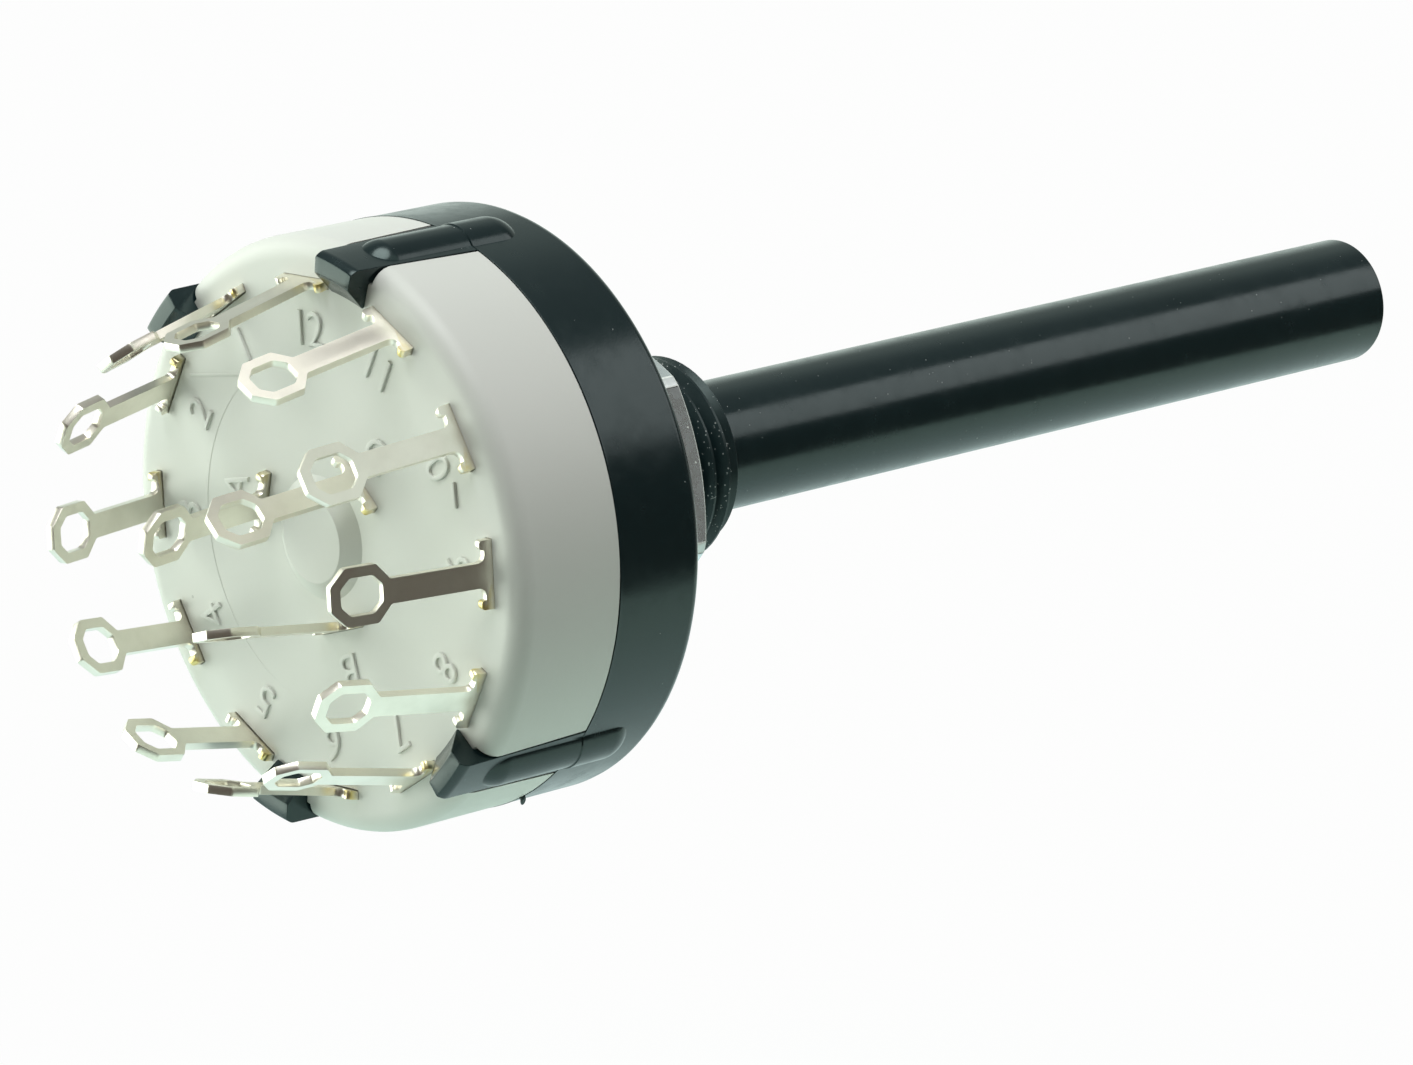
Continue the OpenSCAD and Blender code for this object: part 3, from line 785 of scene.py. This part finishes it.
def witness_circle(radius=8.4, foot=0.06, crest=0.02, sunk=0.05):
    """The faint ring that an ejector sleeve left. It fades out on the side away from tag 3."""
    bm = lathe([(radius - foot, rear_z - sunk, 0), (radius + foot, rear_z - sunk, 0),
                (radius + crest, rear_z + 0.02, 0), (radius - crest, rear_z + 0.02, 0)], 128)
    for v in bm.verts:
        if v.co.z > rear_z:
            v.co.z = rear_z - 0.005 + 0.025 * max(0, v.co.x / radius)
    return bm


def rear_stator(boss_r=2.95, boss_top_r=2.05, sunk=0.2):
    """The grey moulding: cup, boss over the pivot, witness lines and raised marks."""
    boss = lathe([(0, rear_z - sunk, 0), (boss_r, rear_z - sunk, 0), (boss_r, rear_z, 0),
                  (boss_top_r, rear_z + boss_h, 0.12), (0, rear_z + boss_h, 0)], 96, 4)
    flow_line = ridge((9.1, -6.55), (5.3, -7.0), 0.12, 0.03)
    step = ridge((-9.8, -3.9), (-9.88, -2.7), 0.24, 0.14)
    shapes = [cup(), boss, witness_circle(), flow_line, step]
    piece("rear_stator_moulding", merged(shapes), GREY, replaces=["rear_stator"])
    piece("rear_stator_marks", marks(), GREY)


# ------------------------------------------------------------ solder tags


def tag_half(length):
    """Corners of the right half of a tag's blank, from the end of its buried foot up round its eyelet."""
    eye_v, eye_w, eye_l, hole_w, hole_l = 6.5, 2.7, 3.1, 1.75, 2.1
    foot, stem, stem_in, foot_h, nib_h = foot_half, 1.15 / 2, 0.1, 0.35, 0.6
    cut, hole_cut = eye_w * 0.29, hole_w * 0.27
    return [
        (0, -length, 0), (foot, -length, 0.05), (foot, nib_h, 0.18), (foot - nib_w, nib_h, 0.18),
        (foot - nib_w, foot_h, 0.05), (stem, foot_h, 0.35), (stem, eye_v - eye_l / 2 + stem_in, 0.2),
        (eye_w / 2, eye_v - eye_l / 2 + cut, 0.2), (eye_w / 2, eye_v + eye_l / 2 - cut, 0.25),
        (eye_w / 2 - cut, eye_v + eye_l / 2, 0.25), (0, eye_v + eye_l / 2, 0), (0, eye_v + hole_l / 2, 0),
        (hole_w / 2 - hole_cut, eye_v + hole_l / 2, 0.3), (hole_w / 2, eye_v + hole_l / 2 - hole_cut, 0.3),
        (hole_w / 2, eye_v - hole_l / 2 + hole_cut, 0.3), (hole_w / 2 - hole_cut, eye_v - hole_l / 2, 0.3),
        (0, eye_v - hole_l / 2, 0),
    ]


def tag(radius, lean, degrees):
    """A stamped tag on the x axis: its foot stands in the plate and its blade leans towards the axis. It is
    to be turned by an angle, and the nib that then lies towards -x has lost its plating."""
    bm = prism(tag_half(rear_z - pad_z), lambda p: (-tag_t / 2, p[0], p[1]), (tag_t, 0, 0), 4)
    seam = [f for f in bm.faces if all(abs(v.co.y) < 1e-5 for v in f.verts)]
    bmesh.ops.delete(bm, geom=seam, context="FACES")
    bmesh.ops.mirror(bm, geom=everything(bm), axis="Y", merge_dist=1e-4)
    tidy(bm)
    soften(bm, 0.06, 2, 40, lambda e: max(v.co.z for v in e.verts) > -1)
    bare = bm.verts.layers.float.new("bare")
    score(bm, 0)
    bare_side = 1 if math.sin(math.radians(degrees)) > 0.01 else -1
    tip = Matrix.Rotation(math.radians(-lean), 3, "Y")
    for v in bm.verts:
        v[bare] = 1.0 if v.co.y * bare_side > foot_half - nib_w and 0.25 < v.co.z < 0.9 else 0.0
        if v.co.z > 0:
            v.co = tip @ v.co
        v.co += Vector((radius, 0, rear_z))
    return bm


def solder_tags(pad_l=3.9, pad_half=1.1, track_w=2.2, track_in=0.2, track_half=53):
    """The twelve outer tags with their contact pads, and the three pole tags with their tracks."""
    for k in range(1, TAGS + 1):
        pad = prism([(tag_r - pad_l, -pad_half, 0.1), (tag_r, -pad_half, 0), (tag_r, pad_half, 0),
                     (tag_r - pad_l, pad_half, 0.1)], lambda p: (p[0], p[1], pad_z), (0, 0, pad_t))
        shape = turn(merged([tag(tag_r, tag_lean, tag_angle(k)), pad]), tag_angle(k))
        piece(f"solder_tag_{k}", shape, TAG, replaces=[f"terminal_{k}"])
    low_r, high_r = pole_r - track_in, pole_r - track_in + track_w
    section = [(low_r, pad_z), (high_r, pad_z), (high_r, pad_z + pad_t), (low_r, pad_z + pad_t)]
    for p, letter in enumerate("abc"):
        track = ring_block(section, 0, track_half)
        shape = turn(merged([tag(pole_r, pole_lean, pole_angle(p)), track]), pole_angle(p))
        piece(f"pole_tag_{letter}", shape, TAG, replaces=[f"pole_terminal_{letter}"])


# ------------------------------------------------------------------ shaft


def shaft(chamfer=0.38, channel_half=0.9):
    """The black shaft, its journal in the bush, the detent drum and the rear pivot, in one moulding."""
    journal_r, drum_rear, drive_r, drive_rear, pivot_r = shaft_r + 0.2, 6.6, 2.2, 8.2, 1.4
    bm = lathe([
        (0, tip_z, 0), (shaft_r - chamfer, tip_z, 0.1), (shaft_r, tip_z + chamfer, 0.15),
        (shaft_r, bush_z, 0), (journal_r, bush_z, 0.05), (journal_r, drum_front, 0),
        (stop_r - channel_half, drum_front, 0), (stop_r - channel_half, channel_z, 0),
        (stop_r + channel_half, channel_z, 0), (stop_r + channel_half, drum_front, 0),
        (drum_r, drum_front, 0.1), (drum_r, drum_rear, 0.1), (drive_r, drum_rear, 0),
        (drive_r, drive_rear, 0.1), (pivot_r, drive_rear, 0), (pivot_r, pivot_z, 0.15), (0, pivot_z, 0),
    ], 192, 5)
    hole = rod(ball_d / 2 + 0.05, -10, 10)
    bmesh.ops.rotate(hole, verts=hole.verts, cent=(0, 0, 0), matrix=Matrix.Rotation(math.pi / 2, 3, "X"))
    bm = carved(bm, move(hole, 0, 0, ball_z))
    lug_low, lug_high, lug_rear = stop_r - 1, stop_r + 1, channel_z + 0.1
    lug = [(lug_low, drum_front), (lug_high, drum_front), (lug_high, lug_rear), (lug_low, lug_rear)]
    bm = merged([bm, ring_block(lug, 0, lug_half)])
    piece("shaft_moulding", bm, BLACK, "rotor", ["spindle"])


# ------------------------------------------------------ nut and washers


def turned_part(node):
    """A copy of a CAD washer, merged, with its burrs taken off."""
    bm = shape_from(frame["nodes"][node].data)
    bmesh.ops.transform(bm, matrix=STACK.inverted(), verts=bm.verts)
    bmesh.ops.remove_doubles(bm, verts=bm.verts, dist=1e-4)
    bmesh.ops.dissolve_limit(bm, angle_limit=math.radians(0.5), verts=bm.verts, edges=bm.edges)
    soften(bm, 0.05, 2, 20)
    return bm


def hex_nut(across=14.0, corner_r=7.93, corner_angle=41, bevel=0.055):
    """A chamfered disc with a bore, cut to six flats. An attribute marks its corners, and more strongly the
    bevel on each sharp edge, where the nickel is painted pale as a highlight."""
    front, rear = span("hex_nut", Y)
    bore, flat = bush_r + 0.03, across / 2
    chamfer = (corner_r - flat) * math.tan(math.radians(30))
    bm = lathe([(bore, front, 0.2), (flat - 0.1, front, 0), (corner_r, front + chamfer, 0),
                (corner_r, rear - chamfer, 0), (flat - 0.1, rear, 0), (bore, rear, 0.2)], 240, 2)
    for k in range(6):
        angle = math.radians(corner_angle + 30 + 60 * k)
        out = Vector((math.cos(angle), math.sin(angle), 0))
        cut_off(bm, out * flat, out)
    tidy(bm)
    # Painted highlight: the corner faces get half of it, and the bevel faces cut below get all of it.
    painted_highlight = bm.faces.layers.float.new("painted_highlight")
    for face in bm.faces:
        if min(v.co.xy.length for v in face.verts) > corner_r - 0.01:
            face[painted_highlight] = 0.5
    steep, rim = math.radians(20), flat - 0.3
    sharp = [e for e in bm.edges if e.calc_face_angle(0) > steep and e.verts[0].co.xy.length > rim]
    cut = bmesh.ops.bevel(bm, geom=sharp, offset=bevel, offset_type="OFFSET", segments=1, profile=0.5,
                          affect="EDGES", clamp_overlap=False, material=-1)
    # The new bevel faces carry the full painted highlight.
    for face in cut["faces"]:
        face[painted_highlight] = 1.0
    return bm


def fasteners():
    """The nut, the lock washer and the stop washer."""
    piece("hex_nut_finished", hex_nut(), NICKEL, replaces=["hex_nut"], smooth_below=25)
    for node in ("lock_washer", "stop_washer"):
        piece(node + "_finished", turned_part(node), NICKEL, replaces=[node], smooth_below=25)


def dress_cad_nodes():
    """Materials for the CAD pieces that show as they are."""
    given = {"rotor": WHITE, "detent_spring": STEEL, "detent_ball_1": STEEL, "detent_ball_2": STEEL,
             "bridge_contact_a": CONTACT, "bridge_contact_b": CONTACT, "bridge_contact_c": CONTACT}
    for node, material in given.items():
        for slot in frame["nodes"][node].material_slots:
            slot.material = material


front_housing()
rear_stator()
solder_tags()
shaft()
fasteners()
dress_cad_nodes()

# -------------------------------------------------- floor, light and camera

WHITE_LIGHT = (0.982, 0.984, 0.982, 1)


def camera(place, azimuth, elevation, roll):
    """A long lens behind the switch and to its left, rolled a little. Angles are in degrees."""
    data = bpy.data.cameras.new("camera")
    data.lens = 180
    data.sensor_width = 36
    data.clip_start = 0.01
    made = put_in_scene("camera", data)
    made.matrix_world = (Matrix.Translation(place) @ Matrix.Rotation(math.radians(azimuth), 4, "Z")
                         @ Matrix.Rotation(math.pi / 2 - math.radians(elevation), 4, "X")
                         @ Matrix.Rotation(math.radians(roll), 4, "Z"))
    bpy.context.scene.camera = made


def floor(radius=0.12, depth=0.045):
    """A round sheet of paper under the switch. To the camera it is nearly white near its middle, where a
    faint shadow shows, and quite white at its edge. Gloss shows it white too, but less so far from a point
    beside the switch. The light that it throws back has the paper's own colour."""
    bm = bmesh.new()
    bmesh.ops.create_circle(bm, cap_ends=True, segments=96, radius=radius)
    mesh = mesh_from(move(bm, 0.038, -0.033, -depth), "floor")
    f = finish("floor_paper")
    glossy = f.ray("Glossy")
    seen = f.ray("Camera") + f.ray("Transmission")
    out = f.vector("LENGTH", f.where, output="Value")
    aside = f.vector("DISTANCE", f.where, (0.08, -0.03, -depth), output="Value")
    paper = f.add("BsdfDiffuse", None, {"Color": (0.76, 0.93, 0.85, 1)})
    tint = f.mix(glossy, WHITE_LIGHT, (0.80, 1.0, 0.97, 1))
    glow = f.add("Emission", None, {"Color": tint, "Strength": 1.0})
    to_eye = 0.9 + 0.1 * f.ramp(out, depth, 0.085)
    to_gloss = 1 - 0.88 * f.ramp(aside, 0.092, 0.134)
    shown = seen * to_eye + glossy * to_gloss
    f.add("OutputMaterial", None, {"Surface": f.add("MixShader", None, {0: shown, 1: paper, 2: glow})})
    mesh.materials.append(f.owner)
    made = put_in_scene("floor", mesh)


def lamp(name, towards, size, light, colour):
    """A round lamp half a metre away. It lights what faces it to a level of the given light."""
    distance = 0.5
    data = bpy.data.lights.new(name, "AREA")
    data.shape = "DISK"
    data.size = size
    data.energy = light * math.pi ** 2 * (distance ** 2 + size ** 2 / 4)
    data.color = colour
    away = Vector(towards).normalized()
    aim = away.to_track_quat("Z", "Y").to_matrix().to_4x4()
    put_in_scene(name, data).matrix_world = Matrix.Translation(away * distance) @ aim


def world():
    """A dim room with a paler ceiling, a white backdrop across from the camera and a white screen beside it.
    To the camera itself all of it is white."""
    f = Finish(bpy.data.worlds.new("room"), "Generated")
    toward = f.vector("DOT_PRODUCT", f.where, (0.74, -0.66, -0.15), output="Value")
    beside = f.vector("DOT_PRODUCT", f.where, (-0.74, -0.20, 0.64), output="Value")
    backdrop = 0.35 * f.ramp(toward, 0.40, 0.65) + 0.65 * f.ramp(toward, 0.80, 0.93)
    screen = 0.66 * f.ramp(beside, 0.91, 0.95)
    ceiling = f.ramp(f.along("Z"), 0.50, 0.78)
    glossy = f.ray("Glossy")
    seen = f.ray("Camera") + f.ray("Transmission")
    white = f.mix(glossy, WHITE_LIGHT, (0.87, 1.0, 0.93, 1))
    dim = f.mix(ceiling, (0.077, 0.064, 0.053, 1), (0.26, 0.26, 0.25, 1))
    room = f.add("Background", None, {"Color": dim, "Strength": 1.0})
    sheet = f.add("Background", None, {"Color": white, "Strength": 1.0})
    shown = seen + (1 - seen) * (backdrop + screen)
    f.add("OutputWorld", None, {"Surface": f.add("MixShader", None, {0: shown, 1: room, 2: sheet})})
    bpy.context.scene.world = f.owner


camera(place=(-0.24905, 0.20741, 0.07062), azimuth=228.544, elevation=12.68, roll=-2.744)
floor()
world()
lamp("overhead_lamp", towards=(-0.12, 0.22, 0.97), size=0.42, light=0.76, colour=(0.97, 1.0, 0.99))
lamp("rear_lamp", towards=(0.84, 0.54, 0.06), size=0.7, light=1.07, colour=(0.92, 1.0, 0.90))
lamp("front_lamp", towards=(-0.506, -0.72, 0.475), size=0.29, light=0.12, colour=(1.0, 0.97, 0.99))

bpy.context.scene.view_settings.view_transform = "Standard"
